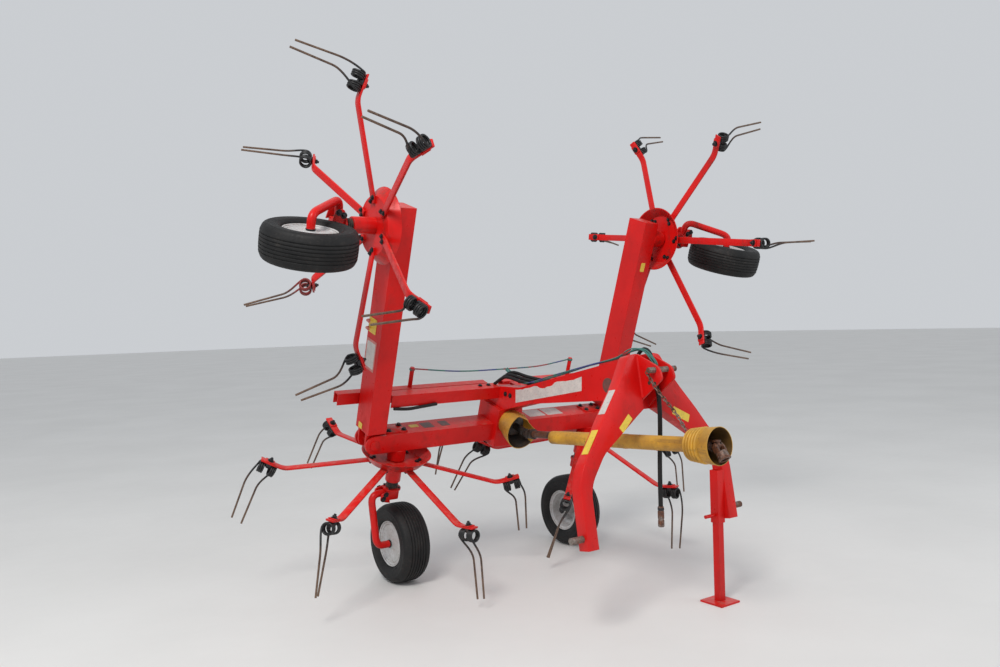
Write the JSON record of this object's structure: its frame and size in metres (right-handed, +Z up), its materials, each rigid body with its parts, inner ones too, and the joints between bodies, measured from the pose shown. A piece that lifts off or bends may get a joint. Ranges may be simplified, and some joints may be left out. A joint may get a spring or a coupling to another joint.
{
  "type": "rotary rake",
  "caption": "Towed hay tedder rake with tined rotors on a hinged beam, outer arms folded up for the road, three-point headstock, guarded drive shaft and parking stand.",
  "frame": {"origin": "on the ground below the middle of the whole machine's box, which is on its centre plane", "axes": "+X to the machine's left, -Y forward to the tractor, +Z up"},
  "size_m": [2.932, 2.423, 2.4905],
  "materials": {
    "frame_paint": "worn satin paint",
    "gearbox_paint": "dusty satin paint",
    "rotor_paint": "worn satin paint",
    "rim_paint": "dusty paint",
    "hub_steel": "dusty satin paint",
    "dark_steel": "satin",
    "bare_steel": "galvanised, weathered",
    "shaft_steel": "rusty",
    "spring_steel": "rusty",
    "guard_plastic": "matte",
    "tyre": "dusty"
  },
  "bodies": {
    "frame": {"cross_beam": "frame_paint", "hinge_pins": "bare_steel", "gearbox": "gearbox_paint", "drawbar": "frame_paint", "headstock": "frame_paint", "top_link_pin": "bare_steel", "lower_link_pins": "bare_steel", "stand_sleeve": "frame_paint", "stand_lock_pin": "bare_steel", "rear_rails": "dark_steel", "fold_channels": "dark_steel", "drive_guard": "guard_plastic", "gearbox_guard": "guard_plastic", "hub_inner_right": "hub_steel", "hub_inner_left": "hub_steel"},
    "arm_right": {"outer_arm_right": "frame_paint", "hub_outer_right": "hub_steel"},
    "arm_left": {"outer_arm_left": "frame_paint", "hub_outer_left": "hub_steel"},
    "drive_shaft": {"drive_shaft": "shaft_steel"},
    "parking_stand": {"parking_stand": "bare_steel"},
    "rotor_inner_right": {"dish_inner_right": "rotor_paint", "tine_arms_inner_right": "rotor_paint", "tines_inner_right": "spring_steel"},
    "wheel_inner_right": {"tyre_inner_right": "tyre", "rim_inner_right": "rim_paint"},
    "rotor_inner_left": {"dish_inner_left": "rotor_paint", "tine_arms_inner_left": "rotor_paint", "tines_inner_left": "spring_steel"},
    "wheel_inner_left": {"tyre_inner_left": "tyre", "rim_inner_left": "rim_paint"},
    "rotor_outer_right": {"dish_outer_right": "rotor_paint", "tine_arms_outer_right": "rotor_paint", "tines_outer_right": "spring_steel"},
    "wheel_outer_right": {"tyre_outer_right": "tyre", "rim_outer_right": "rim_paint"},
    "rotor_outer_left": {"dish_outer_left": "rotor_paint", "tine_arms_outer_left": "rotor_paint", "tines_outer_left": "spring_steel"},
    "wheel_outer_left": {"tyre_outer_left": "tyre", "rim_outer_left": "rim_paint"}
  },
  "joints": [
    {"name": "drive_spin", "type": "hinge", "parent": "frame", "child": "drive_shaft", "pos_m": [0, 0.113, 0.722], "axis": [0, -0.9989, 0.0462], "continuous": true},
    {"name": "fold_right", "type": "hinge", "parent": "frame", "child": "arm_right", "pos_m": [-0.769, 0.369, 0.743], "axis": [0, -0.9455, -0.3256], "range_deg": [0, 89]},
    {"name": "rotor_inner_right_spin", "type": "hinge", "parent": "frame", "child": "rotor_inner_right", "pos_m": [-0.6185, 0.34631, 0.73519], "axis": [0, -0.3256, 0.9455], "continuous": true},
    {"name": "rotor_outer_right_spin", "type": "hinge", "parent": "arm_right", "child": "rotor_outer_right", "pos_m": [-0.78753, 0.00061, 1.73917], "axis": [0.9998, -0.0057, 0.0165], "continuous": true},
    {"name": "wheel_inner_right_spin", "type": "hinge", "parent": "frame", "child": "wheel_inner_right", "pos_m": [-0.5665, 0.46, 0.199], "axis": [1, 0, 0], "continuous": true},
    {"name": "wheel_outer_right_spin", "type": "hinge", "parent": "arm_right", "child": "wheel_outer_right", "pos_m": [-1.26666, -0.13865, 1.63372], "axis": [0.0175, 0.3255, -0.9454], "continuous": true},
    {"name": "fold_left", "type": "hinge", "parent": "frame", "child": "arm_left", "pos_m": [0.769, 0.369, 0.743], "axis": [0, 0.9455, 0.3256], "range_deg": [0, 89]},
    {"name": "rotor_inner_left_spin", "type": "hinge", "parent": "frame", "child": "rotor_inner_left", "pos_m": [0.6185, 0.34631, 0.73519], "axis": [0, -0.3256, 0.9455], "continuous": true},
    {"name": "rotor_outer_left_spin", "type": "hinge", "parent": "arm_left", "child": "rotor_outer_left", "pos_m": [0.78753, 0.00061, 1.73917], "axis": [-0.9998, -0.0057, 0.0165], "continuous": true},
    {"name": "wheel_inner_left_spin", "type": "hinge", "parent": "frame", "child": "wheel_inner_left", "pos_m": [0.5665, 0.46, 0.199], "axis": [1, 0, 0], "continuous": true},
    {"name": "wheel_outer_left_spin", "type": "hinge", "parent": "arm_left", "child": "wheel_outer_left", "pos_m": [1.26666, -0.13865, 1.63372], "axis": [0.0175, -0.3255, 0.9454], "continuous": true},
    {"name": "stand_slide", "type": "slide", "parent": "frame", "child": "parking_stand", "axis": [0, 0, 1], "range_m": [0, 0.185]}
  ],
  "couplings": [
    {"joint": "rotor_inner_right_spin", "follows": "drive_spin", "ratio": 0.33333},
    {"joint": "rotor_outer_right_spin", "follows": "drive_spin", "ratio": -0.33333},
    {"joint": "rotor_inner_left_spin", "follows": "drive_spin", "ratio": -0.33333},
    {"joint": "rotor_outer_left_spin", "follows": "drive_spin", "ratio": 0.33333}
  ]
}
